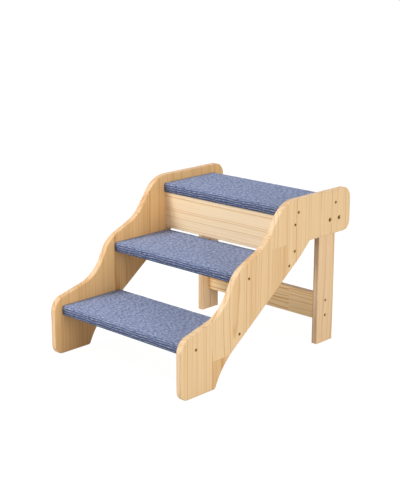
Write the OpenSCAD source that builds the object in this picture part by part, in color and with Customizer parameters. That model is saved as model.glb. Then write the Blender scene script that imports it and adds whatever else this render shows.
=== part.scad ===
// Three-step pet stairs of edge-glued pine boards, with carpet-wrapped treads.
// Millimetres. X runs across the stairs, +Y runs up the stairs, +Z is up.
// The origin is on the floor, under the middle of the stairs.

/* [Stairs] */
// Width over the outer faces of both side panels
stair_w = 400; // [330:1:500]
// Horizontal distance from one tread nose to the next
going = 158; // [131:1:190]
// Height from one tread top to the next
rise = 113; // [94:1:135]
// Height of the lowest tread's top above the floor
first_top = 110.5; // [98:0.5:132]

/* [Treads] */
// Depth of a bare tread board, front to back
board_depth = 167; // [138:1:199]
// Thickness of a bare tread board
board_t = 15; // [12:0.5:18]
// Radius on the long edges of a tread board
board_edge_r = 1.5; // [1.2:0.1:1.8]
// Thickness of the carpet
carpet_t = 3.5; // [2.9:0.1:4.1]
// Room between the carpet and the board that it wraps
carpet_room = 0.2; // [0.1:0.05:0.3]
// Room between the carpet's cut ends and the side panels
carpet_end_room = 0.3; // [0.2:0.05:0.6]
// Width of the carpet that is folded under each long edge
fold_w = 36; // [30:1:43]

/* [Side panels] */
// Thickness of a side panel
panel_t = 15; // [12:0.5:18]
// Radius of the rounded-over edge all round a side panel
panel_edge_r = 3; // [2:0.1:4]
// How far a side panel stands out in front of the lowest tread
panel_front = 20.5; // [17:0.5:24]
// How far a side panel runs on behind the top tread
panel_tail = 32.5; // [27:0.5:38]
// How far a side panel stands above the top tread
panel_lip = 20; // [17:0.5:24]
// How far the front hump stands above the lowest tread
brow_h = 14.5; // [12:0.5:17]
// Height of the square tail that holds a leg
tail_h = 100; // [83:1:119]
// How far the back of the foot leans up the stairs
heel_run = 23.5; // [20:0.5:28]
// Distance from the lowest tread's rear screw forwards to the top of the foot's back
heel_set = 49.5; // [42:0.5:58]
// Distance from that screw down to the top of the foot's back
heel_drop = 54.5; // [46:0.5:63]
// Distance from the middle tread's rear screw back to where the long lower edge steepens
bend_set = 37; // [31:0.5:43]
// Distance from that screw up to there
bend_lift = 11.3; // [9:0.1:13]
// Length from there back to the tail
notch_run = 33.5; // [28:0.5:39]
// Radius of the toe
toe_r = 20; // [17:0.5:24]
// Radius of the front hump
brow_r = 33; // [28:0.5:39]
// Radius of each hollow over a tread
dip_r = 90; // [75:1:107]
// Radius of each hump over a nose
hump_r = 72; // [60:1:85]
// Radius of the tail's upper corner
tail_top_r = 27; // [23:0.5:32]
// Radius of the tail's lower corner
tail_low_r = 22; // [18:0.5:26]
// Radius of the hollow in front of the tail
notch_r = 12; // [10:0.5:14]
// Radius where the long lower edge starts to steepen
bend_r = 120; // [100:1:142]
// Radius of the hollow behind the foot
heel_r = 165; // [137:1:196]
// Radius of the heel itself
heel_corner_r = 6; // [5:0.5:7]

/* [Riser board] */
// Thickness of the upright board under the top tread
riser_t = 15; // [12:0.5:18]
// Gap between that board and the tread below it
riser_gap = 6.5; // [5.5:0.5:7.5]
// How far it sits behind the nose above it
riser_set = 4; // [3:0.5:5]

/* [Leg frame] */
// Thickness of a rear leg
leg_t = 15; // [14:0.5:18]
// Width of a rear leg, front to back
leg_w = 57; // [48:1:67]
// Distance from a leg's back edge to the back of the side panel
leg_set = 33; // [28:0.5:39]
// Thickness of the stretcher between the legs
stretcher_t = 15; // [12:0.5:18]
// Height of the stretcher board
stretcher_h = 61; // [51:1:72]
// Height of the stretcher's lower edge above the floor
stretcher_low = 50.5; // [42:0.5:60]
// Radius on the long edges of the legs, the stretcher and the riser board
rail_edge_r = 2; // [1.6:0.1:2.4]

/* [Wood screws] */
// Diameter of a screw's shank
screw_d = 4.4; // [3.7:0.1:5.2]
// Diameter of a screw's head
screw_head_d = 6.6; // [5.6:0.1:7.6]
// Height of a screw's head
screw_head_h = 3.5; // [3:0.1:4.1]
// Length of a screw under its head
screw_len = 45; // [38:1:53]
// How deep a screw's head sits below the wood
screw_sink = 1.4; // [1:0.1:1.7]
// Across the flats of a screw's socket
screw_key = 3; // [2.5:0.1:3.5]
// Distance from a tread board's long edges to its screws
tread_screw_inset = 18.5; // [16:0.5:22]
// How far those screws sit above the middle of the board's thickness
tread_screw_lift = 1.5; // [1.2:0.1:1.8]
// Distance from the riser board's lower edge to its first screw
riser_screw_inset = 13; // [11:0.5:15]
// Distance between the two screws in each end of the riser board
riser_screw_gap = 58; // [49:0.5:66]
// Distance from the stretcher's lower edge to its first screw
stretcher_screw_inset = 13; // [11:0.5:15]
// Distance between the two screws in each end of the stretcher
stretcher_screw_gap = 35; // [30:0.5:41]

/* [Leg bolts] */
// Diameter of a bolt's shank
bolt_d = 6; // [5:0.1:7]
// Diameter of a bolt's head
bolt_head_d = 9.6; // [8.4:0.1:11]
// Height of a bolt's head
bolt_head_h = 5.5; // [4.6:0.1:6.5]
// How deep a bolt's head sits below the panel's face
bolt_sink = 1.2; // [1:0.1:1.4]
// Across the flats of a bolt's socket
bolt_key = 5; // [4.2:0.1:5.9]
// Distance from a leg's front edge to its first bolt
bolt_front_inset = 16; // [14:0.5:19]
// Distance from a leg's back edge to its second bolt
bolt_back_inset = 8; // [7:0.5:9.5]
// Distance from a leg's top down to its bolts
bolt_drop = 24; // [20:0.5:29]
// Outer diameter of the threaded insert that a bolt screws into
insert_d = 9; // [8:0.1:10.5]
// Length of that insert
insert_len = 12; // [10:0.5:13]

/* [Staples] */
// Number of staples along each fold of a carpet
staple_count = 7; // [4:1:9]
// Width of a staple's crown
staple_w = 10; // [8.3:0.1:11.9]
// Length of a staple's legs
staple_len = 10; // [8.3:0.1:11.9]
// Width of the flat staple wire
wire_w = 1.2; // [1:0.1:1.4]
// Thickness of the flat staple wire
wire_t = 0.6; // [0.5:0.05:0.7]
// Distance from the outermost staples to the ends of the tread
staple_end_inset = 30; // [25:1:36]
// Distance from a fold's cut edge to its staples
staple_fold_inset = 8; // [6.6:0.1:9.5]

/* [Hidden] */

$fn = 48;
hex_fn = 6;
// Turn of one straight piece of a rounded corner, in degrees
arc_step = 7.5;
// Straight pieces across the rounded-over rim of a side panel
rim_steps = 4;
// Running room around a shank, a head, an insert or a staple
fit_room = 0.1;
// How far a cut runs past the face that it leaves
overrun = 1;
// Length of a screw's point
screw_point_h = 5;
// Depth of a socket, as a share of its head's height
key_depth_share = 0.6;
// Diameter of a screw's tip, as a share of its shank
tip_share = 0.2;

// Where the humps and the hollows lie, as shares of the going behind a nose and of the
// rise above its tread
dip_1_shares = [0.64, 0.4];
hump_2_shares = [-0.092, 0.098];
dip_2_shares = [0.458, 0.428];
hump_3_share = -0.158;

half_w = stair_w/2;
inner_half = half_w - panel_t;
leg_inner_half = inner_half - leg_t;
tread_depth = board_depth + 2*carpet_t;
tread_t = board_t + 2*carpet_t;
panel_depth = panel_front + 2*going + tread_depth + panel_tail;
panel_top = first_top + 2*rise + panel_lip;
tail_low = panel_top - tail_h;
front_y = -panel_depth/2;
back_y = panel_depth/2;
riser_top = under_z(2);
riser_low = top_z(1) + riser_gap;
riser_h = riser_top - riser_low;
leg_back_y = back_y - leg_set;
leg_front_y = leg_back_y - leg_w;
leg_mid_y = leg_back_y - leg_w/2;
leg_top = under_z(2);
bolt_len = panel_t - bolt_sink - bolt_head_h + insert_len;

// Places of tread i, counted from 0 at the bottom
function nose_y(i) = front_y + panel_front + i*going;
function top_z(i) = first_top + i*rise;
function mid_z(i) = top_z(i) - tread_t/2;
function under_z(i) = top_z(i) - tread_t;
function mid_y(i) = nose_y(i) + tread_depth/2;
function wave_point(i, shares) = [nose_y(i) + shares[0]*going, top_z(i) + shares[1]*rise];

// Places of the fasteners on a side, as [y, z]
function tread_screw_places(i) = [
    for (s = [-1, 1])
        [mid_y(i) + s*(board_depth/2 - tread_screw_inset), mid_z(i) + tread_screw_lift]
];
function riser_screw_places() = [
    for (z = [0, riser_screw_gap])
        [nose_y(2) + riser_set + riser_t/2, riser_low + riser_screw_inset + z]
];
function stretcher_screw_places() = [
    for (z = [0, stretcher_screw_gap])
        [leg_mid_y, stretcher_low + stretcher_screw_inset + z]
];
function bolt_places() = [
    for (y = [leg_front_y + bolt_front_inset, leg_back_y - bolt_back_inset])
        [y, leg_top - bolt_drop]
];

// Corners of a side panel as [y, z, radius], anticlockwise from the toe. The long lower
// edge runs past the rear screws of the two lower treads.
heel = tread_screw_places(0)[1] - [heel_set, heel_drop];
bend = tread_screw_places(1)[1] + [bend_set, bend_lift];
function panel_corners() = [
    [front_y, 0, toe_r],
    [heel[0] - heel_run, 0, heel_corner_r],
    [each heel, heel_r],
    [each bend, bend_r],
    [bend[0] + notch_run, tail_low, notch_r],
    [back_y, tail_low, tail_low_r],
    [back_y, panel_top, tail_top_r],
    [nose_y(2) + hump_3_share*going, panel_top, hump_r],
    [each wave_point(1, dip_2_shares), dip_r],
    [each wave_point(1, hump_2_shares), hump_r],
    [each wave_point(0, dip_1_shares), dip_r],
    [front_y, top_z(0) + brow_h, brow_r],
];

// An outline of straight runs and arcs through corners given as [y, z, radius].
// Where two arcs would meet on a short side, both shrink alike.
function around(list, i) = list[(i + len(list)) % len(list)];
function flat_point(c) = [c[0], c[1]];
function run(corners, i) = flat_point(around(corners, i + 1)) - flat_point(around(corners, i));
function heading(corners, i) = let (d = run(corners, i)) atan2(d[1], d[0]);
function turn(corners, i) =
    let (a = heading(corners, i) - heading(corners, i - 1))
    a > 180 ? a - 360 : a < -180 ? a + 360 : a;
function reach(corners, i) = around(corners, i)[2]*abs(tan(turn(corners, i)/2));
function shrink(corners, i) = min(
    1,
    norm(run(corners, i - 1))/(reach(corners, i - 1) + reach(corners, i)),
    norm(run(corners, i))/(reach(corners, i) + reach(corners, i + 1))
);

// The arc at corner i as [centre, radius, heading, turn]. It turns left at a hump and
// right in a hollow.
function arc(corners, i) =
    let (
        a = turn(corners, i),
        r = around(corners, i)[2]*shrink(corners, i),
        h = heading(corners, i - 1),
        start = flat_point(around(corners, i)) - r*abs(tan(a/2))*[cos(h), sin(h)]
    )
    [start + sign(a)*r*[-sin(h), cos(h)], r, h, a];
function arc_place(c, share, inset) =
    let (s = sign(c[3]), q = c[2] + share*c[3])
    c[0] + (s*c[1] - inset)*[sin(q), -cos(q)];
function inset_outline(corners, inset) = [
    for (i = [0:len(corners) - 1])
        let (c = arc(corners, i), steps = max(2, ceil(abs(c[3])/arc_step)))
        each [for (k = [0:steps]) arc_place(c, k/steps, inset)]
];

// A slab with a rounded-over rim. Its outline lies in X and Y, and its thickness in Z.
// The shape runs on a step past both faces, where the slab's flat faces cut it off.
module rounded_slab(corners, t, r) {
    rim = [for (k = [0:rim_steps]) r*[1 - cos(90*k/rim_steps), 1 - sin(90*k/rim_steps)]];
    half = concat([2*rim[0] - rim[1]], [for (k = [1:rim_steps]) rim[k]]);
    layers = concat(half, [for (k = [rim_steps:-1:0]) [t - half[k][0], half[k][1]]]);
    loops = [for (l = layers) [for (p = inset_outline(corners, l[1])) [p[0], p[1], l[0]]]];
    count = len(loops[0]);
    sides = [
        for (l = [0:len(loops) - 2], i = [0:count - 1])
            let (a = l*count + i, b = l*count + (i + 1) % count)
            [a, a + count, b + count, b]
    ];
    caps = [
        [for (i = [0:count - 1]) i],
        [for (i = [count - 1:-1:0]) (len(loops) - 1)*count + i]
    ];
    xs = [for (p = inset_outline(corners, 0)) p[0]];
    ys = [for (p = inset_outline(corners, 0)) p[1]];
    intersection() {
        translate([min(xs) - overrun, min(ys) - overrun, 0])
            cube([max(xs) - min(xs) + 2*overrun, max(ys) - min(ys) + 2*overrun, t]);
        polyhedron([for (l = loops) each l], concat(sides, caps));
    }
}

// A rectangle centred on the origin, with rounded corners
module eased_rectangle(size, r) {
    square([size[0] - 2*r, size[1]], center = true);
    square([size[0], size[1] - 2*r], center = true);
    for (x = [-1, 1], y = [-1, 1])
        translate([x*(size[0]/2 - r), y*(size[1]/2 - r)])
            circle(r);
}

// A profile drawn in Y and Z, run along X and centred on it
module along_x(length) {
    translate([-length/2, 0, 0])
        rotate([90, 0, 90])
            linear_extrude(length)
                children();
}

// A rod or bore along X from x = from to x = to, through a place given as [y, z]
module rod_x(place, d, from, to) {
    translate([from, place[0], place[1]])
        rotate([0, 90, 0])
            cylinder(d = d, h = to - from);
}

// Draws a right-hand piece on the right for side 1 and on the left for side -1
module on_side(side) {
    mirror([side < 0 ? 1 : 0, 0, 0])
        children();
}

// Bore for a wood screw, in from the face at x = face
module screw_bore(place, face) {
    head_floor = face - screw_sink - screw_head_h;
    rod_x(place, screw_head_d + 2*fit_room, head_floor, face + overrun);
    rod_x(place, screw_d + 2*fit_room, head_floor - screw_len - fit_room, head_floor + overrun);
}

// A wood screw with a socket head, pointing inwards from the face at x = face
module wood_screw(place, face) {
    head_top = face - screw_sink;
    head_floor = head_top - screw_head_h;
    tip = head_floor - screw_len;
    difference() {
        union() {
            rod_x(place, screw_head_d, head_floor, head_top);
            rod_x(place, screw_d, tip + screw_point_h, head_floor + screw_head_h/2);
            translate([tip, place[0], place[1]])
                rotate([0, 90, 0])
                    cylinder(d1 = tip_share*screw_d, d2 = screw_d, h = screw_point_h);
        }
        translate([head_top - key_depth_share*screw_head_h, place[0], place[1]])
            rotate([0, 90, 0])
                cylinder(d = screw_key/cos(180/hex_fn), h = screw_head_h, $fn = hex_fn);
    }
}

// Screws on both sides at each place
module screw_set(places, face) {
    color("saddlebrown")
        for (side = [-1, 1], p = places)
            on_side(side)
                wood_screw(p, face);
}

// Wavy side panel with its screw and bolt bores
module side_panel(side) {
    color("burlywood")
        on_side(side)
            difference() {
                translate([inner_half, 0, 0])
                    rotate([90, 0, 90])
                        rounded_slab(panel_corners(), panel_t, panel_edge_r);
                for (i = [0:2], p = tread_screw_places(i))
                    screw_bore(p, half_w);
                for (p = riser_screw_places())
                    screw_bore(p, half_w);
                for (p = bolt_places()) {
                    rod_x(p, bolt_head_d + 2*fit_room,
                          half_w - bolt_sink - bolt_head_h, half_w + overrun);
                    rod_x(p, bolt_d + 2*fit_room, inner_half - overrun, half_w);
                }
            }
}

// Bare tread board, with pilot bores in its ends and slits for the staples
module tread_board(i) {
    color("wheat")
        difference() {
            translate([0, mid_y(i), mid_z(i)])
                along_x(2*inner_half)
                    eased_rectangle([board_depth, board_t], board_edge_r);
            for (side = [-1, 1], p = tread_screw_places(i))
                on_side(side)
                    screw_bore(p, half_w);
            staple_legs(i, fit_room);
        }
}

// Carpet wrapped round a tread board, with both long edges folded under it
module tread_carpet(i) {
    color("slategray")
        difference() {
            translate([0, mid_y(i), mid_z(i)])
                along_x(2*(inner_half - carpet_end_room))
                    difference() {
                        eased_rectangle([tread_depth, tread_t], board_edge_r + carpet_t);
                        eased_rectangle(
                            [board_depth + 2*carpet_room, board_t + 2*carpet_room],
                            board_edge_r + carpet_room
                        );
                        translate([0, -tread_t/2])
                            square([tread_depth - 2*fold_w, tread_t], center = true);
                    }
            staple_legs(i, fit_room);
        }
}

// Places of the staples of tread i, as [x, y]
function staple_places(i) = [
    for (s = [-1, 1], k = [0:staple_count - 1])
        [(inner_half - staple_end_inset)*(2*k/(staple_count - 1) - 1),
         mid_y(i) + s*(tread_depth/2 - fold_w + staple_fold_inset)]
];

// The legs of the staples, or with room around them the slits that they leave
module staple_legs(i, room) {
    for (p = staple_places(i), s = [-1, 1])
        translate([
            p[0] + s*(staple_w - wire_t)/2 - wire_t/2 - room,
            p[1] - wire_w/2 - room,
            under_z(i) - room
        ])
            cube([wire_t + 2*room, wire_w + 2*room, staple_len + 2*room]);
}

// Staples through the folds of one carpet into its board
module carpet_staples(i) {
    color("lightgray") {
        staple_legs(i, 0);
        for (p = staple_places(i))
            translate([p[0] - staple_w/2, p[1] - wire_w/2, under_z(i) - wire_t])
                cube([staple_w, wire_w, wire_t]);
    }
}

// Upright board under the nose of the top tread
module riser_board() {
    color("wheat")
        difference() {
            translate([0, nose_y(2) + riser_set + riser_t/2, riser_low + riser_h/2])
                along_x(2*inner_half)
                    eased_rectangle([riser_t, riser_h], rail_edge_r);
            for (side = [-1, 1], p = riser_screw_places())
                on_side(side)
                    screw_bore(p, half_w);
        }
}

// Rear leg, bolted to the inner face of a side panel
module rear_leg(side) {
    color("wheat")
        on_side(side)
            difference() {
                translate([inner_half - leg_t/2, leg_mid_y, 0])
                    linear_extrude(leg_top)
                        eased_rectangle([leg_t, leg_w], rail_edge_r);
                for (p = stretcher_screw_places())
                    screw_bore(p, inner_half);
                for (p = bolt_places())
                    rod_x(p, insert_d + 2*fit_room, inner_half - insert_len - fit_room,
                          inner_half + overrun);
            }
}

// Board that ties the two rear legs together
module leg_stretcher() {
    color("wheat")
        difference() {
            translate([0, leg_mid_y, stretcher_low + stretcher_h/2])
                along_x(2*leg_inner_half)
                    eased_rectangle([stretcher_t, stretcher_h], rail_edge_r);
            for (side = [-1, 1], p = stretcher_screw_places())
                on_side(side)
                    screw_bore(p, inner_half);
        }
}

// Socket-head bolts that hold the rear legs to the side panels
module leg_bolts() {
    head_top = half_w - bolt_sink;
    head_floor = head_top - bolt_head_h;
    color("saddlebrown")
        for (side = [-1, 1], p = bolt_places())
            on_side(side)
                difference() {
                    union() {
                        rod_x(p, bolt_head_d, head_floor, head_top);
                        rod_x(p, bolt_d, head_floor - bolt_len, head_floor + bolt_head_h/2);
                    }
                    translate([head_top - key_depth_share*bolt_head_h, p[0], p[1]])
                        rotate([0, 90, 0])
                            cylinder(d = bolt_key/cos(180/hex_fn), h = bolt_head_h, $fn = hex_fn);
                }
}

// Threaded inserts in the rear legs, which the bolts screw into
module leg_inserts() {
    color("silver")
        for (side = [-1, 1], p = bolt_places())
            on_side(side)
                difference() {
                    rod_x(p, insert_d, inner_half - insert_len, inner_half);
                    rod_x(p, bolt_d + 2*fit_room, inner_half - insert_len - overrun,
                          inner_half + overrun);
                }
}

side_panel(1);  // side_panel_right
side_panel(-1);  // side_panel_left
tread_board(0);  // tread_board_1
tread_board(1);  // tread_board_2
tread_board(2);  // tread_board_3
tread_carpet(0);  // tread_carpet_1
tread_carpet(1);  // tread_carpet_2
tread_carpet(2);  // tread_carpet_3
riser_board();
rear_leg(1);  // rear_leg_right
rear_leg(-1);  // rear_leg_left
leg_stretcher();
screw_set(tread_screw_places(0), half_w);  // tread_screws_1
screw_set(tread_screw_places(1), half_w);  // tread_screws_2
screw_set(tread_screw_places(2), half_w);  // tread_screws_3
screw_set(riser_screw_places(), half_w);  // riser_screws
screw_set(stretcher_screw_places(), inner_half);  // stretcher_screws
leg_bolts();
leg_inserts();
carpet_staples(0);  // carpet_staples_1
carpet_staples(1);  // carpet_staples_2
carpet_staples(2);  // carpet_staples_3
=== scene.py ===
import math

import bmesh
import bpy
from mathutils import Matrix, Vector


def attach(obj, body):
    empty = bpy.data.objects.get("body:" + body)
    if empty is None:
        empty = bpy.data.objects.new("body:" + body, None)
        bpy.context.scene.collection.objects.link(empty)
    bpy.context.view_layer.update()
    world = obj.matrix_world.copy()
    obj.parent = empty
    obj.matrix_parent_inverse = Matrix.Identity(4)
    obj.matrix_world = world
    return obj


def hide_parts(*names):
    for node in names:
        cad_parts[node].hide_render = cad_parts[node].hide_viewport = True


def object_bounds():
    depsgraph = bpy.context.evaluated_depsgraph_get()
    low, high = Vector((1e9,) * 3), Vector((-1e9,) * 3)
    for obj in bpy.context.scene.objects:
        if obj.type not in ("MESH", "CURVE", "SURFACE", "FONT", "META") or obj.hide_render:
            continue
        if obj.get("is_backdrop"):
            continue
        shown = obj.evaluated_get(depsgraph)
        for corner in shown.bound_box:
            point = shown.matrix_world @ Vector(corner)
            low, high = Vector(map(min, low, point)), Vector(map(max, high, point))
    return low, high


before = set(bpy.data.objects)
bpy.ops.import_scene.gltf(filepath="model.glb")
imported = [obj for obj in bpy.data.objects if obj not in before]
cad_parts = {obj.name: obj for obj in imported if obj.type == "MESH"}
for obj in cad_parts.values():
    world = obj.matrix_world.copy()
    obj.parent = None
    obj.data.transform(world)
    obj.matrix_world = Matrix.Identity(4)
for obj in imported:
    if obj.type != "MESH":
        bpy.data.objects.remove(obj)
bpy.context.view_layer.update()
bpy.ops.object.select_all(action="DESELECT")


# ---------------------------------------------------------------- The camera
# It looks from the right of the front and a little down, so that the right side panel's outer
# face, the tops of all three treads and the frame behind them show.
camera_place = (1.6741, -1.7720, 0.9015)
camera_turn, camera_down, camera_roll = 43.49, 15.285, 0.09  # degrees
bpy.ops.object.camera_add(location=camera_place)
camera = bpy.context.object
camera.name = "stairs_camera"
camera.data.sensor_width = 36
camera.data.lens = 84.23
camera.rotation_euler = (
    Matrix.Rotation(math.radians(camera_turn), 3, "Z")
    @ Matrix.Rotation(math.radians(90 - camera_down), 3, "X")
    @ Matrix.Rotation(math.radians(camera_roll), 3, "Z")
).to_euler()
bpy.context.scene.camera = camera


# ---------------------------------------------------------------- Floor and light
# A seamless white studio floor under a white dome. One large soft lamp stands high in front of
# the stairs and to their left, a second low and farther in front on the same side, and a third
# on their right.
def node(tree, kind, sockets=None, **settings):
    made = tree.nodes.new("ShaderNode" + kind)
    for name, value in settings.items():
        setattr(made, name, value)
    for socket, value in (sockets or {}).items():
        if isinstance(value, bpy.types.NodeSocket):
            tree.links.new(value, made.inputs[socket])
        else:
            made.inputs[socket].default_value = value
    return made


def shown_white(tree):
    """1 where the camera sees this itself, in a mirror or through glass, and 0 elsewhere."""
    path = node(tree, "LightPath")
    first = node(tree, "Math", {0: path.outputs["Is Camera Ray"], 1: path.outputs["Is Glossy Ray"]},
                 operation="MAXIMUM")
    return node(tree, "Math", {0: first.outputs[0], 1: path.outputs["Is Transmission Ray"]},
                operation="MAXIMUM").outputs[0]


def new_material(name):
    made = bpy.data.materials.new(name)
    made.use_nodes = True
    made.node_tree.nodes.clear()
    return made, made.node_tree


dome_light, dome_warmth = 0.41, (1, 0.90, 0.76, 1)
world = bpy.data.worlds.new("white_dome")
bpy.context.scene.world = world
world.use_nodes = True
dome = world.node_tree
dome.nodes.clear()
dome_strength = node(dome, "Mix", {0: shown_white(dome), 2: dome_light, 3: 1.0})
dome_tint = node(dome, "Mix", {0: shown_white(dome), 6: dome_warmth, 7: (1, 1, 1, 1)},
                 data_type="RGBA")
dome_colour = node(dome, "Background", {0: dome_tint.outputs[2], 1: dome_strength.outputs[0]})
node(dome, "OutputWorld", {0: dome_colour.outputs[0]})

floor_size, floor_grey, floor_glow, floor_shown = 30, 0.5, 1.21, 0.8
bpy.ops.mesh.primitive_grid_add(x_subdivisions=8, y_subdivisions=8, size=floor_size,
                                location=(0, 0, 0))
floor = bpy.context.object
floor.name = "studio_floor"
floor_paint, tree = new_material("studio_floor_white")
matt = node(tree, "BsdfDiffuse", {0: (floor_grey, floor_grey, floor_grey, 1)})
glow = node(tree, "Emission", {0: (1, 1, 1, 1), 1: floor_glow})
share = node(tree, "Math", {0: shown_white(tree), 1: floor_shown}, operation="MULTIPLY")
both = node(tree, "MixShader", {0: share.outputs[0], 1: matt.outputs[0], 2: glow.outputs[0]})
node(tree, "OutputMaterial", {0: both.outputs[0]})
floor.data.materials.append(floor_paint)
floor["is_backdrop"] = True


def soft_lamp(name, place, aim, size, power):
    bpy.ops.object.light_add(type="AREA", location=place)
    lamp = bpy.context.object
    lamp.name = name
    lamp.data.shape = "DISK"
    lamp.data.size = size
    lamp.data.energy = power
    lamp.rotation_euler = (Vector(aim) - Vector(place)).to_track_quat("-Z", "Y").to_euler()


soft_lamp("high_lamp", place=(-1.0, -1.4, 3.0), aim=(0, 0, 0.15), size=1.4, power=57)
soft_lamp("front_lamp", place=(-1.1, -2.9, 0.50), aim=(0, 0, 0.15), size=1.0, power=37)
soft_lamp("side_lamp", place=(3.4, -0.3, 0.9), aim=(0.1, 0, 0.15), size=1.4, power=61)


# ---------------------------------------------------------------- Side panels
# Two pine boards, glued up from vertical staves, cut to a wavy upper edge, rounded over all
# round and sealed with a satin clear coat. Each is screwed to the ends of the treads and of the
# riser board and bolted to a rear leg, with every head sunk in a counterbore.
panel_out, panel_in, panel_front = 0.200, 0.185, -0.2715
panel_ease = 0.003
corner_step = 4.5  # degrees that one flat of a rounded corner turns
# y from the front end, z, and the radius of each corner
panel_corners = [
    (0.0, 0.0, 0.020), (0.0995, 0.0, 0.006), (0.123, 0.0465, 0.165), (0.3675, 0.2253, 0.120),
    (0.401, 0.2565, 0.012), (0.543, 0.2565, 0.022), (0.543, 0.3565, 0.027),
    (0.311536, 0.3565, 0.072), (0.250864, 0.271864, 0.090), (0.163964, 0.234574, 0.072),
    (0.12162, 0.1557, 0.090), (0.0, 0.125, 0.033),
]
tread_screw_yz = [(-0.229, 0.101), (-0.099, 0.101), (-0.071, 0.214), (0.059, 0.214),
                  (0.087, 0.327), (0.217, 0.327)]
riser_screw_yz = [(0.0765, 0.243), (0.0765, 0.301)]
bolt_yz = [(0.1975, 0.2905), (0.2305, 0.2905)]
screw_head_d, screw_head_h, screw_sink, screw_d = 0.0066, 0.0035, 0.0014, 0.0044
bolt_head_d, bolt_head_h, bolt_sink, bolt_d = 0.0096, 0.0055, 0.0012, 0.006
bore_room, bore_facets = 0.0001, 36
bit_stand, bit_runout = 0.002, 0.003  # how far a bit stands out of the face, and out of the back


def alone(piece):
    """Makes the piece the only one selected, and the active one."""
    if bpy.context.object and bpy.context.object.mode != "OBJECT":
        bpy.ops.object.mode_set(mode="OBJECT")
    bpy.ops.object.select_all(action="DESELECT")
    piece.select_set(True)
    bpy.context.view_layer.objects.active = piece


def shape(piece):
    """Opens the piece in edit mode with nothing selected."""
    alone(piece)
    bpy.ops.object.mode_set(mode="EDIT")
    bpy.ops.mesh.select_all(action="DESELECT")


def pick(piece, kind, wanted):
    """In edit mode, selects only the verts, edges or faces for which wanted(element) is true."""
    bpy.ops.mesh.select_mode(type={"verts": "VERT", "edges": "EDGE", "faces": "FACE"}[kind])
    bpy.ops.mesh.select_all(action="DESELECT")
    mesh = bmesh.from_edit_mesh(piece.data)
    for element in list(getattr(mesh, kind)):
        if wanted(element):
            element.select_set(True)
    mesh.select_flush_mode()
    bmesh.update_edit_mesh(piece.data)


def settled(piece, name=None):
    """Ends the shaping: faces outwards, place, turn and size in the mesh."""
    alone(piece)
    bpy.ops.object.transform_apply(location=True, rotation=True, scale=True)
    bpy.ops.object.mode_set(mode="EDIT")
    bpy.ops.mesh.select_all(action="SELECT")
    bpy.ops.mesh.remove_doubles(threshold=0.000002)
    bpy.ops.mesh.normals_make_consistent(inside=False)
    bpy.ops.object.mode_set(mode="OBJECT")
    if name:
        piece.name = piece.data.name = name
    return piece


def copied(piece, name, move=(0, 0, 0), mirrored=False):
    """A copy with its own mesh, moved, or mirrored to the other side of the stairs."""
    alone(piece)
    bpy.ops.object.duplicate()
    twin = bpy.context.object
    bpy.ops.transform.translate(value=move)
    bpy.ops.object.transform_apply(location=True, rotation=True, scale=True)
    if mirrored:
        twin.scale.x = -1
    return settled(twin, name)


def cut(piece, *bits):
    """Takes the bits out of the piece, and deletes them."""
    for bit in bits:
        alone(piece)
        bore = piece.modifiers.new("bore", "BOOLEAN")
        bore.operation, bore.solver, bore.object = "DIFFERENCE", "EXACT", bit
        bpy.ops.object.modifier_apply(modifier=bore.name)
        bpy.data.objects.remove(bit)
    return piece


def smoothed(piece, angle=35):
    """Shades round parts round and keeps flat faces flat up to their eased edges."""
    alone(piece)
    bpy.ops.object.shade_smooth_by_angle(angle=math.radians(angle))
    flat = piece.modifiers.new("flat_faces", "WEIGHTED_NORMAL")
    flat.keep_sharp = True
    bpy.ops.object.modifier_apply(modifier=flat.name)
    return piece


def bore_bit(yz, face, head_d, head_floor, shank_d, end):
    """A stepped bit along X for a sunk head. It goes in at x = face and down to x = end."""
    bpy.ops.mesh.primitive_cylinder_add(
        vertices=bore_facets, radius=shank_d / 2, depth=head_floor - end,
        location=((head_floor + end) / 2, *yz), rotation=(0, math.radians(90), 0))
    bit = bpy.context.object
    bpy.ops.object.transform_apply(location=True, rotation=True, scale=True)
    shape(bit)
    pick(bit, "faces", lambda f: f.normal.x > 0.9)
    bpy.ops.mesh.extrude_region_move(TRANSFORM_OT_translate={"value": (0, 0, 0)})
    bpy.ops.transform.resize(value=(1, head_d / shank_d, head_d / shank_d),
                             center_override=(head_floor, *yz))
    bpy.ops.mesh.extrude_region_move(
        TRANSFORM_OT_translate={"value": (face - head_floor + bit_stand, 0, 0)})
    bpy.ops.object.mode_set(mode="OBJECT")
    return settled(bit, "bore_bit")


def screw_bit(yz, face, end):
    return bore_bit(yz, face, screw_head_d + 2 * bore_room, face - screw_sink - screw_head_h,
                    screw_d + 2 * bore_room, end)


bpy.ops.mesh.primitive_circle_add(vertices=len(panel_corners), radius=0.1, fill_type="NGON",
                                  location=(0, 0, 0))
panel = bpy.context.object
shape(panel)
bpy.ops.mesh.select_mode(type="VERT")
for i, (y, z, _) in enumerate(panel_corners):
    corner = Vector((panel_in, panel_front + y, z))
    pick(panel, "verts", lambda v: v.index == i)
    here = [v.co.copy() for v in bmesh.from_edit_mesh(panel.data).verts if v.index == i][0]
    bpy.ops.transform.translate(value=corner - here)
for i, (y, z, radius) in enumerate(panel_corners):
    corner = Vector((0, y, z))
    before, after = panel_corners[i - 1], panel_corners[(i + 1) % len(panel_corners)]
    run_in = (corner - Vector((0, *before[:2]))).normalized()
    run_out = (Vector((0, *after[:2])) - corner).normalized()
    bend = run_in.angle(run_out)
    lean_in = 1 / (1 + math.cos(bend / 2))  # the share of the corner that a true arc cuts off
    corner += Vector((panel_in, panel_front, 0))
    pick(panel, "verts", lambda v: (v.co - corner).length < 0.0001)
    bpy.ops.mesh.bevel(offset_type="OFFSET", offset=radius * math.tan(bend / 2),
                       segments=max(4, math.ceil(math.degrees(bend) / corner_step)),
                       profile=(1 - lean_in / 2) ** 2, affect="VERTICES")
bpy.ops.mesh.select_mode(type="FACE")
bpy.ops.mesh.select_all(action="SELECT")
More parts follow.
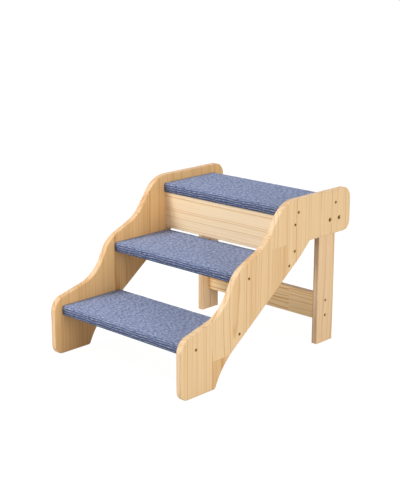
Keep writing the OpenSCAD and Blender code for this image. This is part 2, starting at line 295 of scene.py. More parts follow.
bpy.ops.mesh.extrude_region_move(
    TRANSFORM_OT_translate={"value": (panel_out - panel_in, 0, 0)})
bpy.ops.mesh.select_all(action="SELECT")
bpy.ops.mesh.normals_make_consistent(inside=False)
pick(panel, "edges", lambda e: abs(e.verts[0].co.x - e.verts[1].co.x) < 0.0001)
bpy.ops.mesh.bevel(offset_type="OFFSET", offset=panel_ease, segments=5, profile=0.5,
                   affect="EDGES")
bpy.ops.object.mode_set(mode="OBJECT")
settled(panel, "right_panel")
cut(panel, *[screw_bit(yz, panel_out, panel_in - bit_runout)
             for yz in tread_screw_yz + riser_screw_yz])
cut(panel, *[bore_bit(yz, panel_out, bolt_head_d + 2 * bore_room,
                      panel_out - bolt_sink - bolt_head_h, bolt_d + 2 * bore_room,
                      panel_in - bit_runout) for yz in bolt_yz])
left_panel = copied(panel, "left_panel", mirrored=True)
smoothed(panel)
smoothed(left_panel)


def pine_grain():
    """Growth rings of a stave cut from a log that lies along Z. Board is a place in metres, with X
    across the face and Y through the thickness."""
    sway_across, sway_deep, ripple_height = 0.010, 0.012, 0.0012  # of the rings, in metres
    uneven_every, uneven_rings = 90, 1.6
    ring_profile = [(0.40, 0.08), (0.70, 0.34), (0.86, 1.0), (0.93, 0.80)]  # place, darkness
    faintest_ring, ring_spread = 0.15, 1.15
    streak_depth, fibre_depth, sawn_depth = 0.55, 0.30, 2.6
    group = bpy.data.node_groups.new("pine_grain", "ShaderNodeTree")
    sockets = group.interface
    for name, kind, value in [
        ("Board", "NodeSocketVector", None), ("Along", "NodeSocketVector", None),
        ("Face", "NodeSocketVector", None),
        ("Pith Across", "NodeSocketFloat", 0.02), ("Pith Depth", "NodeSocketFloat", 0.04),
        ("Ring Width", "NodeSocketFloat", 0.0030), ("Tone", "NodeSocketFloat", 0.0),
        ("Contrast", "NodeSocketFloat", 1.0),
        ("Early Wood", "NodeSocketColor", (0.8, 0.6, 0.35, 1)),
        ("Late Wood", "NodeSocketColor", (0.6, 0.3, 0.1, 1)),
        ("End Grain", "NodeSocketColor", (0.8, 0.6, 0.4, 1)),
    ]:
        socket = sockets.new_socket(name, in_out="INPUT", socket_type=kind)
        if value is not None:
            socket.default_value = value
    sockets.new_socket("Color", in_out="OUTPUT", socket_type="NodeSocketColor")
    sockets.new_socket("Roughness", in_out="OUTPUT", socket_type="NodeSocketFloat")
    sockets.new_socket("Height", in_out="OUTPUT", socket_type="NodeSocketFloat")
    given = group.nodes.new("NodeGroupInput").outputs

    def maths(operation, a, b=0.0, c=0.0):
        return node(group, "Math", {0: a, 1: b, 2: c}, operation=operation).outputs[0]

    def stretched_noise(scale, detail, extra=0.0):
        along = node(group, "Mapping", {0: given["Board"], 3: scale})
        return node(group, "TexNoise", {"Vector": along.outputs[0], "W": extra, "Scale": 1.0,
                                        "Detail": detail, "Roughness": 0.55},
                    noise_dimensions="4D")

    stave_seed = maths("MULTIPLY", given["Pith Across"], 40)
    wander = stretched_noise((9, 9, 2.4), 2, stave_seed)
    shift = node(group, "SeparateXYZ", {0: wander.outputs["Color"]})
    ripple = stretched_noise((60, 60, 11), 2).outputs[0]
    spot = node(group, "SeparateXYZ", {0: given["Board"]})
    across = maths("SUBTRACT", spot.outputs[0], given["Pith Across"])
    across = maths("MULTIPLY_ADD", maths("SUBTRACT", shift.outputs[0], 0.5), sway_across, across)
    deep = maths("ADD", spot.outputs[1], given["Pith Depth"])
    deep = maths("MULTIPLY_ADD", maths("SUBTRACT", shift.outputs[1], 0.5), sway_deep, deep)
    out = maths("SQRT", maths("ADD", maths("MULTIPLY", across, across),
                              maths("MULTIPLY", deep, deep)))
    out = maths("MULTIPLY_ADD", maths("SUBTRACT", ripple, 0.5), ripple_height, out)
    uneven = node(group, "TexNoise", {"W": maths("MULTIPLY", out, uneven_every), "Scale": 1.0,
                                      "Detail": 1.0}, noise_dimensions="1D").outputs[0]
    rings = maths("ADD", maths("DIVIDE", out, given["Ring Width"]),
                  maths("MULTIPLY", uneven, uneven_rings))
    part = maths("FRACT", rings)
    strength = node(group, "TexWhiteNoise", {"W": maths("FLOOR", rings)},
                    noise_dimensions="1D").outputs[0]
    ring = node(group, "ValToRGB", {0: part})
    stops = ring.color_ramp.elements
    stops[0].position, stops[0].color = 0.0, (0, 0, 0, 1)
    stops[1].position, stops[1].color = 1.0, (0, 0, 0, 1)
    for place, level in ring_profile:
        stops.new(place).color = (level, level, level, 1)
    late = maths("MULTIPLY", ring.outputs[0],
                 maths("MULTIPLY_ADD", maths("POWER", strength, 2.0), ring_spread, faintest_ring))
    streak = stretched_noise((130, 130, 3), 3).outputs[0]
    fibre = stretched_noise((900, 900, 26), 2).outputs[0]
    late = maths("MULTIPLY_ADD", maths("SUBTRACT", streak, 0.5), streak_depth, late)
    late = maths("MULTIPLY_ADD", maths("SUBTRACT", fibre, 0.5), fibre_depth, late)
    late = maths("MULTIPLY_ADD", given["Tone"], 1.0, maths("MULTIPLY", late, given["Contrast"]))
    wood = node(group, "Mix", {0: late, 6: given["Early Wood"], 7: given["Late Wood"]},
                data_type="RGBA")
    normal = node(group, "NewGeometry").outputs["Normal"]
    ends = node(group, "VectorMath", {0: normal, 1: given["Along"]}, operation="DOT_PRODUCT")
    ends = maths("ABSOLUTE", ends.outputs["Value"])
    rim = node(group, "VectorMath", {0: normal, 1: given["Face"]}, operation="DOT_PRODUCT")
    rim = maths("SUBTRACT", 1.0, maths("ABSOLUTE", rim.outputs["Value"]))
    sawn = node(group, "Mix", {0: maths("MULTIPLY", late, sawn_depth), 6: given["End Grain"],
                               7: given["Late Wood"]}, data_type="RGBA")
    sawn = node(group, "Mix", {0: maths("MAXIMUM", ends, rim), 6: wood.outputs[2],
                               7: sawn.outputs[2]}, data_type="RGBA")
    pores = maths("MULTIPLY_ADD", fibre, 0.5, maths("MULTIPLY", late, 0.5))
    rough = maths("MULTIPLY_ADD", late, -0.10, 0.50)
    result = group.nodes.new("NodeGroupOutput")
    for name, value in [("Color", sawn.outputs[2]), ("Roughness", rough), ("Height", pores)]:
        group.links.new(value, result.inputs[name])
    return group


pine = pine_grain()
honey, amber = (0.815, 0.588, 0.330, 1), (0.610, 0.330, 0.108, 1)
cut_end = (0.79, 0.600, 0.390, 1)


def pine_material(name, turn, along, face, **values):
    """Sealed pine. Turn lays the board's width on X, its thickness on Y and its grain on Z. The
    node named grain holds the values of its rings."""
    made, tree = new_material(name)
    place = node(tree, "TexCoord").outputs["Object"]
    board = node(tree, "Mapping", {0: place, 2: turn})
    grain = tree.nodes.new("ShaderNodeGroup")
    grain.name, grain.node_tree = "grain", pine
    tree.links.new(board.outputs[0], grain.inputs["Board"])
    finish = {"Along": along, "Face": face, "Contrast": 1.2, "Early Wood": honey,
              "Late Wood": amber, "End Grain": cut_end}
    finish.update({socket.replace("_", " "): value for socket, value in values.items()})
    for socket, value in finish.items():
        grain.inputs[socket].default_value = value
    relief = node(tree, "Bump", {"Strength": 0.12, "Distance": 0.0004,
                                 "Height": grain.outputs["Height"]})
    lacquer = node(tree, "BsdfPrincipled", {
        "Base Color": grain.outputs["Color"], "Roughness": grain.outputs["Roughness"],
        "Normal": relief.outputs[0], "Coat Weight": 0.12, "Coat Roughness": 0.3})
    node(tree, "OutputMaterial", {0: lacquer.outputs[0]})
    return made


def in_material(piece, material):
    """Gives the whole piece one material."""
    piece.data.materials.clear()
    piece.data.materials.append(material)


stave_span = 540  # mm along which the glue lines are given, from 1.5 mm behind the front end


def staves(tree, edges, place, looks):
    """What each stave of a glued-up board looks like, as red, green and blue, by its place."""
    ramp = node(tree, "ValToRGB", {0: place})
    ramp.color_ramp.interpolation = "CONSTANT"
    stops = ramp.color_ramp.elements
    stops.remove(stops[1])
    stops[0].color = (*looks[0], 1)
    for edge, look in zip(edges, looks[1:]):
        stops.new(edge / stave_span).color = (*look, 1)
    return ramp.outputs[0]


def panel_material(name, side, edges, upper, lower, joints, **colours):
    """The staves stand upright. Each has a tone, a pith place across and a pith depth, above and
    below a finger joint at its own height. All three are given from 0 to 1, as a colour is."""
    made = pine_material(name, (0, 0, math.radians(-90) * side), (0, 0, 1), (1, 0, 0), **colours)
    tree, grain = made.node_tree, made.node_tree.nodes["grain"]
    spot = node(tree, "SeparateXYZ", {0: node(tree, "TexCoord").outputs["Object"]})
    across = node(tree, "MapRange", {0: spot.outputs[1], 1: -stave_span / 2000,
                                     2: stave_span / 2000})
    over, under, joint = [staves(tree, edges, across.outputs[0], looks)
                          for looks in (upper, lower, [(j, j, j) for j in joints])]
    below = node(tree, "Math", {0: spot.outputs[2], 1: joint}, operation="LESS_THAN")
    look = node(tree, "Mix", {0: below.outputs[0], 6: over, 7: under}, data_type="RGBA")
    parts = node(tree, "SeparateColor", {0: look.outputs[2]})
    tone = node(tree, "MapRange", {0: parts.outputs[0], 3: -0.3, 4: 0.5})
    pith = node(tree, "MapRange", {0: parts.outputs[1], 3: -0.30, 4: 0.30})
    depth = node(tree, "MapRange", {0: parts.outputs[2], 3: 0.005, 4: 0.12})
    tree.links.new(tone.outputs[0], grain.inputs["Tone"])
    tree.links.new(pith.outputs[0], grain.inputs["Pith Across"])
    tree.links.new(depth.outputs[0], grain.inputs["Pith Depth"])
    return made


# The edges are the glue lines, in mm, and the joints are the heights of the finger joints, in
# metres, with 0 for a stave that has none.
near_edges = [60, 87, 148, 195, 240, 270, 298, 322, 372, 433, 490]
near_upper = [(.37, .70, .30), (.42, .30, .06), (.38, .12, .25), (.40, .30, .45), (.48, .68, .35),
              (.40, .85, .20), (.34, .30, .50), (.34, .86, .30), (.42, .55, .15), (.34, .20, .20),
              (.40, .70, .25), (.40, .80, .20)]
near_lower = list(near_upper)
near_lower[2], near_lower[6], near_lower[7] = (.96, .28, .60), (.66, .40, .50), (.84, .70, .60)
near_joints = [0.0, 0.0, 0.063, 0.0, 0.0, 0.0, 0.262, 0.262, 0.0, 0.0, 0.0, 0.0]
near_pine = panel_material("panel_pine_right", 1, near_edges, near_upper, near_lower, near_joints)
far_edges = [56, 100, 141, 190, 233, 281, 330, 377, 421, 468, 511]
far_upper = [(.45, .45, .20), (.52, .20, .25), (.38, .30, .40), (.42, .62, .60), (.36, .30, .30),
             (.40, .78, .30), (.44, .55, .70), (.36, .82, .30), (.40, .25, .40), (.36, .60, .50),
             (.42, .85, .30), (.40, .95, .60)]
far_lower = list(far_upper)
far_lower[4], far_lower[8] = (.50, .36, .70), (.52, .60, .80)
far_joints = [0.0, 0.0, 0.0, 0.0, 0.165, 0.0, 0.0, 0.0, 0.291, 0.0, 0.0, 0.0]
# Painted shade: the left panel's early and late wood are deeper and more orange than the right
# panel's, over the whole board, for the shade on its inner face between the panels. Its sawn rims
# keep a paler tone.
far_pine_painted_shade = panel_material("panel_pine_left", -1, far_edges, far_upper, far_lower, far_joints,
                          Early_Wood=(0.830, 0.525, 0.230, 1), Late_Wood=(0.560, 0.265, 0.070, 1),
                          End_Grain=(0.80, 0.580, 0.365, 1))
for piece, wood, cad in [(panel, near_pine, "side_panel_right"),
                         (left_panel, far_pine_painted_shade, "side_panel_left")]:
    in_material(piece, wood)
    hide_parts(cad)
    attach(piece, "root")


# ---------------------------------------------------------------- Tread boards
# A bare pine board inside each carpet, sawn with the grain from panel to panel. Its face shows
# only underneath, between the folds of the carpet.
crossways = (0, math.radians(90), math.radians(90))  # the turn of a board that lies along X
board_pine = pine_material("tread_board_pine", crossways, (1, 0, 0), (0, 0, 1),
                           Pith_Across=0.03, Pith_Depth=0.05, Tone=0.05, Ring_Width=0.004)
for n in (1, 2, 3):
    in_material(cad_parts[f"tread_board_{n}"], board_pine)


# ---------------------------------------------------------------- Carpet covers
# One piece of ribbed blue-grey carpet round each tread board, cut to size, wrapped over the front
# edge, the top and the back edge, and folded under along both long edges, where it is stapled.
# Its loops stand in rows that run from panel to panel.
cover_w, cover_t = 0.3694, 0.0033
cover_depth, cover_h, cover_r = 0.174, 0.022, 0.005
fold = 0.036
row_pitch, first_row, loop_pitch = 0.0050, 0.0008, 0.0042
row_sways = [(0.0005, 90, 210), (0.0004, 37, -130)]  # height, and turns by x and along the cut
nose_y, nose_rise = [-0.251, -0.093, 0.065], [0.1105, 0.2235, 0.3365]
flat_runs = [fold - cover_r, math.pi / 2 * cover_r, cover_h - 2 * cover_r, math.pi / 2 * cover_r,
             cover_depth - 2 * cover_r]
flat_runs += [math.pi / 2 * cover_r, cover_h - 2 * cover_r, math.pi / 2 * cover_r, fold - cover_r]
cover_l = sum(flat_runs)


def wrapped(v):
    """Where the place v along the flat cut comes to lie on the board, as (y, z), and which way is
    out there. y is from the nose and z from the top."""
    top, low, back = 0.0, -cover_h, cover_depth
    corners = [(cover_r, low + cover_r, 270), (cover_r, top - cover_r, 180),
               (back - cover_r, top - cover_r, 90), (back - cover_r, low + cover_r, 0)]
    starts = [(fold, low), (0, low + cover_r), (cover_r, top), (back, top - cover_r),
              (back - cover_r, low)]
    ways = [(-1, 0), (0, 1), (1, 0), (0, -1), (-1, 0)]
    outs = [(0, -1), (-1, 0), (0, 1), (1, 0), (0, -1)]
    for k, run in enumerate(flat_runs):
        if v <= run or k == len(flat_runs) - 1:
            break
        v -= run
    if k % 2 == 0:
        (y, z), (a, b) = starts[k // 2], ways[k // 2]
        return (y + a * v, z + b * v), outs[k // 2]
    y, z, start = corners[k // 2]
    angle = math.radians(start) - v / cover_r
    way = (math.cos(angle), math.sin(angle))
    return (y + cover_r * way[0], z + cover_r * way[1]), way


gap_flat, gap_bent, slack_depth = 0.0003, 0.0005, 0.0002  # how deep the pile dips, in metres
bend_reach, bend_fade = 0.016, 0.005  # from the middle of a rounded edge, where the rows open
steps_v, steps_u = 400, 46
nose_v = sum(flat_runs[:2]) + flat_runs[2] / 2
back_v = cover_l - nose_v
bpy.ops.mesh.primitive_grid_add(x_subdivisions=steps_u, y_subdivisions=steps_v, size=1,
                                calc_uvs=True, location=(0, 0, 0))
cover = bpy.context.object
cover.scale = (cover_w, cover_l, 1)
bpy.ops.object.transform_apply(location=False, rotation=False, scale=True)
pile_dips = []
for vert in cover.data.vertices:
    x, v = vert.co.x, vert.co.y + cover_l / 2
    (y, z), (out_y, out_z) = wrapped(v)
    from_bend = min(abs(v - nose_v), abs(v - back_v))
    bent = max(0.0, min(1.0, (bend_reach - from_bend) / bend_fade))
    row = v - first_row
    for height, by_x, by_v in row_sways:
        row += height * math.sin(x * by_x + v * by_v)
    gap = (0.5 + 0.5 * math.cos(2 * math.pi * row / row_pitch)) ** 2
    slack = 0.5 + 0.25 * (math.sin(x * 61 + v * 23) + math.sin(x * 27 - v * 71 + 1.7))
    dip = (gap_flat + gap_bent * bent) * gap + slack_depth * slack
    pile_dips.append(Vector((0, -dip * out_y, -dip * out_z)))
    vert.co = (x, y, z)
alone(cover)
cloth = cover.modifiers.new("cloth", "SOLIDIFY")
cloth.thickness, cloth.offset = cover_t, -1
bpy.ops.object.modifier_apply(modifier=cloth.name)
for vert, dip in zip(cover.data.vertices, pile_dips):  # the rows stand out on the pile side alone
    vert.co += dip
bpy.ops.object.shade_smooth_by_angle(angle=math.radians(60))

carpet, tree = new_material("ribbed_carpet")
flat_cut = node(tree, "TexCoord").outputs["UV"]
metres = node(tree, "Mapping", {0: flat_cut, 1: (-cover_w / 2, 0, 0), 3: (cover_w, cover_l, 1)})
metres = metres.outputs[0]
spot = node(tree, "SeparateXYZ", {0: metres})


def cloth_noise(scale, detail):
    stretched = node(tree, "Mapping", {0: metres, 3: scale})
    return node(tree, "TexNoise", {"Vector": stretched.outputs[0], "Scale": 1.0, "Detail": detail,
                                   "Roughness": 0.6}).outputs[0]


def cloth_maths(operation, a, b=0.0, c=0.0):
    return node(tree, "Math", {0: a, 1: b, 2: c}, operation=operation).outputs[0]


row = cloth_maths("SUBTRACT", spot.outputs[1], first_row)
for height, by_x, by_v in row_sways:  # the same slow waves as in the mesh
    wave = cloth_maths("MULTIPLY_ADD", spot.outputs[1], by_v,
                       cloth_maths("MULTIPLY", spot.outputs[0], by_x))
    row = cloth_maths("MULTIPLY_ADD", cloth_maths("SINE", wave), height, row)
uneven = cloth_maths("SUBTRACT", cloth_noise((120, 120, 1), 2), 0.5)
row = cloth_maths("MULTIPLY_ADD", uneven, 0.0012, row)
row = cloth_maths("DIVIDE", row, row_pitch)
row_number = cloth_maths("FLOOR", row)
gap = cloth_maths("COSINE", cloth_maths("MULTIPLY", row, 2 * math.pi))
gap = cloth_maths("POWER", cloth_maths("MULTIPLY_ADD", gap, 0.5, 0.5), 2.0)
shift = node(tree, "TexWhiteNoise", {"W": row_number}, noise_dimensions="1D").outputs[0]
loop = cloth_maths("MULTIPLY_ADD", spot.outputs[0], 1 / loop_pitch,
                   cloth_maths("MULTIPLY", shift, 9))
loop = cloth_maths("MULTIPLY_ADD", cloth_noise((170, 170, 1), 1), 1.6, loop)
split = cloth_maths("ABSOLUTE", cloth_maths("SUBTRACT", cloth_maths("FRACT", loop), 0.5))
split = cloth_maths("POWER", cloth_maths("MULTIPLY", split, 2.0), 3.0)
loop_number = node(tree, "CombineXYZ", {0: row_number, 1: cloth_maths("FLOOR", loop)})
loop_dye = node(tree, "TexWhiteNoise", {"Vector": loop_number.outputs[0]}, noise_dimensions="2D")
patch_dye, patch_start, loop_range, fine_dye = 3.0, -1.06, 0.16, 0.9
dye = cloth_maths("MULTIPLY_ADD", cloth_noise((120, 420, 1), 3), patch_dye, patch_start)
dye = cloth_maths("MULTIPLY_ADD", loop_dye.outputs[0], loop_range, dye)
dye = cloth_maths("MULTIPLY_ADD", cloth_noise((500, 2200, 1), 2), fine_dye,
                  cloth_maths("SUBTRACT", dye, fine_dye / 2))
darkest_yarn, dark_yarn = (0.104, 0.140, 0.286, 1), (0.221, 0.282, 0.495, 1)
pale_yarn, palest_yarn = (0.334, 0.410, 0.658, 1), (0.510, 0.600, 0.835, 1)
heather = node(tree, "ValToRGB", {0: dye})
shades = heather.color_ramp.elements
shades[0].position, shades[0].color = 0.10, darkest_yarn
shades[1].position, shades[1].color = 0.95, palest_yarn
shades.new(0.38).color = dark_yarn
shades.new(0.66).color = pale_yarn
# Painted shade: the yarn is darkened towards a near-black blue in the gaps between rows and between
# loops. The row gaps darken more from the top's rounded edges down over the nose and the fold under
# it. Nose and fold are darker again as a whole, and darkest near the nose's lower edge, at the
# front and at the back.
from_cut = cloth_maths("MINIMUM", spot.outputs[1],
                       cloth_maths("SUBTRACT", cover_l, spot.outputs[1]))
nose_half, nose_fade, foot_reach = 0.009, 0.0145, 0.017
bent = node(tree, "MapRange", {0: from_cut, 1: nose_v + nose_fade, 2: nose_v + nose_half})
bent = bent.outputs[0]
from_foot = cloth_maths("ABSOLUTE", cloth_maths("SUBTRACT", from_cut, nose_v - nose_half))
low = node(tree, "MapRange", {0: from_foot, 1: foot_reach, 2: 0.0}).outputs[0]
between_rows, between_rows_bent, between_loops, on_nose, under_nose = 0.17, 0.55, 0.22, 0.14, 0.34
shade = cloth_maths("MULTIPLY_ADD", bent, between_rows_bent, between_rows)
shade = cloth_maths("MULTIPLY", gap, shade)
shade = cloth_maths("MAXIMUM", shade, cloth_maths("MULTIPLY", split, between_loops))
shade = cloth_maths("MULTIPLY_ADD", bent, on_nose, shade)
shade = cloth_maths("MULTIPLY_ADD", low, under_nose, shade)
# the near-black blue that the painted shade turns the yarn towards
painted_shade_blue = (0.030, 0.042, 0.090, 1)
deep = node(tree, "Mix", {0: shade, 6: heather.outputs[0], 7: painted_shade_blue}, data_type="RGBA")
pile = cloth_maths("MULTIPLY", cloth_noise((900, 900, 1), 2), 0.7)
pile = cloth_maths("MULTIPLY_ADD", split, -0.5, pile)
pile = cloth_maths("MULTIPLY_ADD", gap, -0.6, pile)
relief = node(tree, "Bump", {"Strength": 0.8, "Distance": 0.0012, "Height": pile})
yarn = node(tree, "BsdfPrincipled", {
    "Base Color": deep.outputs[2], "Roughness": 0.95, "Specular IOR Level": 0.1,
    "Normal": relief.outputs[0], "Sheen Weight": 0.12, "Sheen Roughness": 0.5})
node(tree, "OutputMaterial", {0: yarn.outputs[0]})
cover.data.materials.append(carpet)

covers = [copied(cover, f"carpet_cover_{n}", move=(0, nose_y[n - 1], nose_rise[n - 1]))
          for n in (1, 2, 3)]
bpy.data.objects.remove(cover)
for n, piece in enumerate(covers, start=1):
    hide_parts(f"tread_carpet_{n}")
    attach(piece, "root")


# ---------------------------------------------------------------- Riser board
# An upright pine board under the nose of the top tread, with its edges eased and its grain from
# panel to panel. Two screws through each side panel hold it.
riser_y, riser_z, rail_ease = (0.069, 0.084), (0.230, 0.3145), 0.002
screw_len = 0.045
screw_bore = screw_sink + screw_head_h + screw_len + bore_room


def eased_board(name, low, high, ease):
    """A sawn board between two corners, with its four long edges eased."""
    size = Vector(high) - Vector(low)
    bpy.ops.mesh.primitive_cube_add(size=1, location=(Vector(low) + Vector(high)) / 2)
    board = bpy.context.object
    board.scale = size
    bpy.ops.object.transform_apply(location=True, rotation=True, scale=True)
    along = max(range(3), key=lambda i: size[i])
    shape(board)
    pick(board, "edges",
         lambda e: abs(e.verts[0].co[along] - e.verts[1].co[along]) > size[along] / 2)
    bpy.ops.mesh.bevel(offset=ease, segments=5, profile=0.5, affect="EDGES")
    bpy.ops.object.mode_set(mode="OBJECT")
    return settled(board, name)


riser = eased_board("upright_riser_board", (-panel_in, riser_y[0], riser_z[0]),
                    (panel_in, riser_y[1], riser_z[1]), rail_ease)
for yz in riser_screw_yz:
    bit = screw_bit(yz, panel_out, panel_out - screw_bore)
    cut(riser, copied(bit, "left_bit", mirrored=True), bit)
smoothed(riser)
riser_pine = pine_material(
    "riser_pine", crossways, (1, 0, 0), (0, 1, 0),
    Pith_Across=0.265, Pith_Depth=0.03, Tone=-0.02, Ring_Width=0.0042,
    Early_Wood=(0.880, 0.700, 0.470, 1), Late_Wood=(0.690, 0.420, 0.185, 1))
in_material(riser, riser_pine)
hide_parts("riser_board")
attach(riser, "root")


# ---------------------------------------------------------------- Rear legs
# A flat pine leg inside the tail of each side panel, which it meets face to face. Two threaded
# inserts are let into it for the bolts, and two screws go through it into the stretcher.
leg_in, leg_y, leg_high = 0.170, (0.1815, 0.2385), 0.3145
insert_d, insert_len = 0.009, 0.012
stretcher_screw_yz = [(0.21, 0.0635), (0.21, 0.0985)]
leg = eased_board("right_rear_leg", (leg_in, leg_y[0], 0), (panel_in, leg_y[1], leg_high),
                  rail_ease)
cut(leg, *[screw_bit(yz, panel_in, leg_in - bit_runout) for yz in stretcher_screw_yz])
for yz in bolt_yz:
    start, end = panel_in + bit_stand, panel_in - insert_len - bore_room
    bpy.ops.mesh.primitive_cylinder_add(
        vertices=bore_facets, radius=insert_d / 2 + bore_room, depth=start - end,
        location=((start + end) / 2, *yz), rotation=(0, math.radians(90), 0))
    cut(leg, settled(bpy.context.object, "insert_bit"))
left_leg = copied(leg, "left_rear_leg", mirrored=True)
leg_pine = pine_material(
    "leg_pine", (0, 0, math.radians(-90)), (0, 0, 1), (1, 0, 0),
    Pith_Across=0.16, Pith_Depth=0.02, Tone=0.02, Ring_Width=0.0036,
    Early_Wood=(0.810, 0.580, 0.345, 1), Late_Wood=(0.600, 0.330, 0.125, 1))
for piece, cad in [(leg, "rear_leg_right"), (left_leg, "rear_leg_left")]:
    in_material(smoothed(piece), leg_pine)
    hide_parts(cad)
    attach(piece, "root")


# ---------------------------------------------------------------- Leg stretcher
# A pine board on edge that ties the two legs together near the floor. It is glued up end to end,
# so its grain changes at a finger joint, and each leg is screwed to its end.
stretcher_y, stretcher_z, finger_joint_x = (0.2025, 0.2175), (0.0505, 0.1115), 0.085
stretcher = eased_board("leg_tie_board", (-leg_in, stretcher_y[0], stretcher_z[0]),
                        (leg_in, stretcher_y[1], stretcher_z[1]), rail_ease)
for yz in stretcher_screw_yz:
    bit = screw_bit(yz, panel_in, panel_in - screw_bore)
    cut(stretcher, copied(bit, "left_bit", mirrored=True), bit)
smoothed(stretcher)
# Painted light: the stretcher's early wood is paler and brighter than the other pine, and its tone
# lighter, to lift it where it stands in the shade of the treads. Its strong ring contrast is its
# own grain.
stretcher_pine_painted_light = pine_material(
    "stretcher_pine_painted_light", crossways, (1, 0, 0), (0, 1, 0), Tone=-0.12, Ring_Width=0.0036, Contrast=1.9,
    Early_Wood=(0.950, 0.700, 0.385, 1), Late_Wood=(0.680, 0.360, 0.115, 1))
tree, grain = stretcher_pine_painted_light.node_tree, stretcher_pine_painted_light.node_tree.nodes["grain"]
spot = node(tree, "SeparateXYZ", {0: node(tree, "TexCoord").outputs["Object"]})
past_joint = node(tree, "Math", {0: spot.outputs[0], 1: finger_joint_x}, operation="GREATER_THAN")
for socket, before, after in [("Pith Across", 0.045, 0.012), ("Pith Depth", 0.020, 0.050)]:
    value = node(tree, "Mix", {0: past_joint.outputs[0], 2: before, 3: after})
    tree.links.new(value.outputs[0], grain.inputs[socket])
in_material(stretcher, stretcher_pine_painted_light)
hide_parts("leg_stretcher")
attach(stretcher, "root")


# ---------------------------------------------------------------- Wood screws
# Dark socket-head wood screws, four through the panels into the ends of each tread board, four
# into the riser board and four through the legs into the stretcher.
screw_key, screw_tip = 0.003, 0.005
tip_share, rim_share, key_share = 0.2, 0.12, 0.6  # of the shank's width, and of the head's height
shank_facets = 24


def socket_head(yz, top, head_d, head_h, shank_d, end, key, tip=None):
    """A fastener along X with its head's top at x = top, a hexagon key hole and a plain shank."""
    floor_x = top - head_h
    body_end = end + (tip or 0)
    bpy.ops.mesh.primitive_cylinder_add(
        vertices=shank_facets, radius=shank_d / 2, depth=floor_x - body_end,
        location=((floor_x + body_end) / 2, *yz), rotation=(0, math.radians(90), 0))
    made = bpy.context.object
    bpy.ops.object.transform_apply(location=True, rotation=True, scale=True)
    shape(made)
    if tip:
        pick(made, "faces", lambda f: f.normal.x < -0.9)
        bpy.ops.mesh.extrude_region_move(TRANSFORM_OT_translate={"value": (-tip, 0, 0)})
        bpy.ops.transform.resize(value=(1, tip_share, tip_share), center_override=(end, *yz))
    pick(made, "faces", lambda f: f.normal.x > 0.9)
    bpy.ops.mesh.extrude_region_move(TRANSFORM_OT_translate={"value": (0, 0, 0)})
    bpy.ops.transform.resize(value=(1, head_d / shank_d, head_d / shank_d),
                             center_override=(floor_x, *yz))
    bpy.ops.mesh.extrude_region_move(TRANSFORM_OT_translate={"value": (head_h, 0, 0)})
    pick(made, "edges", lambda e: e.verts[0].co.x > top - 1e-5 and e.verts[1].co.x > top - 1e-5)
    bpy.ops.mesh.bevel(offset=head_h * rim_share, segments=3, affect="EDGES")
    bpy.ops.object.mode_set(mode="OBJECT")
    settled(made)
    bpy.ops.mesh.primitive_cylinder_add(
        vertices=6, radius=key / 2 / math.cos(math.radians(30)), depth=head_h,
        location=(top - key_share * head_h + head_h / 2, *yz), rotation=(0, math.radians(90), 0))
    return cut(made, settled(bpy.context.object, "key_bit"))


def joined(pieces, name):
    alone(pieces[0])
    for piece in pieces[1:]:
        piece.select_set(True)
    bpy.ops.object.join()
    return settled(bpy.context.object, name)


bronze, tree = new_material("dark_bronze_plating")
place = node(tree, "TexCoord").outputs["Object"]
worn = node(tree, "TexNoise", {"Vector": place, "Scale": 900.0, "Detail": 3.0})
dark_bronze, pale_bronze = (0.215, 0.120, 0.030, 1), (0.380, 0.225, 0.060, 1)
plate = node(tree, "Mix", {0: worn.outputs[0], 6: dark_bronze, 7: pale_bronze}, data_type="RGBA")
dull = node(tree, "MapRange", {0: worn.outputs[0], 3: 0.38, 4: 0.62})
pitted = node(tree, "Bump", {"Strength": 0.1, "Distance": 0.0001, "Height": worn.outputs[0]})
metal = node(tree, "BsdfPrincipled", {"Base Color": plate.outputs[2], "Metallic": 0.35,
                                      "Roughness": dull.outputs[0], "Normal": pitted.outputs[0]})
node(tree, "OutputMaterial", {0: metal.outputs[0]})

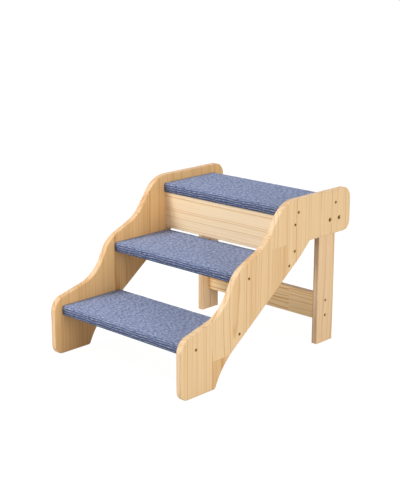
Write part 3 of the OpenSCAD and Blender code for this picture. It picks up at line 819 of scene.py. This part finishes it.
screw = socket_head((0, 0), 0, screw_head_d, screw_head_h, screw_d,
                    -screw_head_h - screw_len, screw_key, tip=screw_tip)
screw_sets = [(f"tread_screws_{n + 1}", tread_screw_yz[2 * n:2 * n + 2], panel_out)
              for n in (0, 1, 2)]
screw_sets += [("riser_screws", riser_screw_yz, panel_out),
               ("stretcher_screws", stretcher_screw_yz, panel_in)]
for cad, places, face in screw_sets:
    right = [copied(screw, "screw", move=(face - screw_sink, *yz)) for yz in places]
    left = [copied(one, "screw", mirrored=True) for one in right]
    piece = smoothed(joined(right + left, f"{cad}_turned"))
    in_material(piece, bronze)
    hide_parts(cad)
    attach(piece, "root")
bpy.data.objects.remove(screw)


# ---------------------------------------------------------------- Leg bolts
# Four dark socket-head machine bolts, two a side, one near the front edge of each leg and one
# near its back edge. They turn into the threaded inserts in the legs.
bolt_key, bolt_end = 0.005, panel_in - insert_len
bolt = socket_head((0, 0), 0, bolt_head_d, bolt_head_h, bolt_d,
                   bolt_end - panel_out + bolt_sink, bolt_key)
right = [copied(bolt, "bolt", move=(panel_out - bolt_sink, *yz)) for yz in bolt_yz]
left = [copied(one, "bolt", mirrored=True) for one in right]
bpy.data.objects.remove(bolt)
bolts = smoothed(joined(right + left, "leg_bolts_turned"))
in_material(bolts, bronze)
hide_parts("leg_bolts")
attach(bolts, "root")


# ---------------------------------------------------------------- Inserts and staples
# Plated steel: the threaded inserts in the legs, and the flat-wire staples that hold the folds of
# each carpet under its board.
zinc, tree = new_material("zinc_plating")
place = node(tree, "TexCoord").outputs["Object"]
drawn = node(tree, "Mapping", {0: place, 3: (300, 2500, 2500)})
drawn = node(tree, "TexNoise", {"Vector": drawn.outputs[0], "Scale": 1.0, "Detail": 3.0})
dark_zinc, pale_zinc = (0.42, 0.43, 0.45, 1), (0.66, 0.67, 0.69, 1)
plate = node(tree, "Mix", {0: drawn.outputs[0], 6: dark_zinc, 7: pale_zinc}, data_type="RGBA")
dull = node(tree, "MapRange", {0: drawn.outputs[0], 3: 0.28, 4: 0.45})
metal = node(tree, "BsdfPrincipled", {"Base Color": plate.outputs[2], "Metallic": 1.0,
                                      "Roughness": dull.outputs[0]})
node(tree, "OutputMaterial", {0: metal.outputs[0]})
for cad in ["leg_inserts", "carpet_staples_1", "carpet_staples_2", "carpet_staples_3"]:
    in_material(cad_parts[cad], zinc)


bpy.context.scene.view_settings.view_transform = "Standard"
low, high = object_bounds()
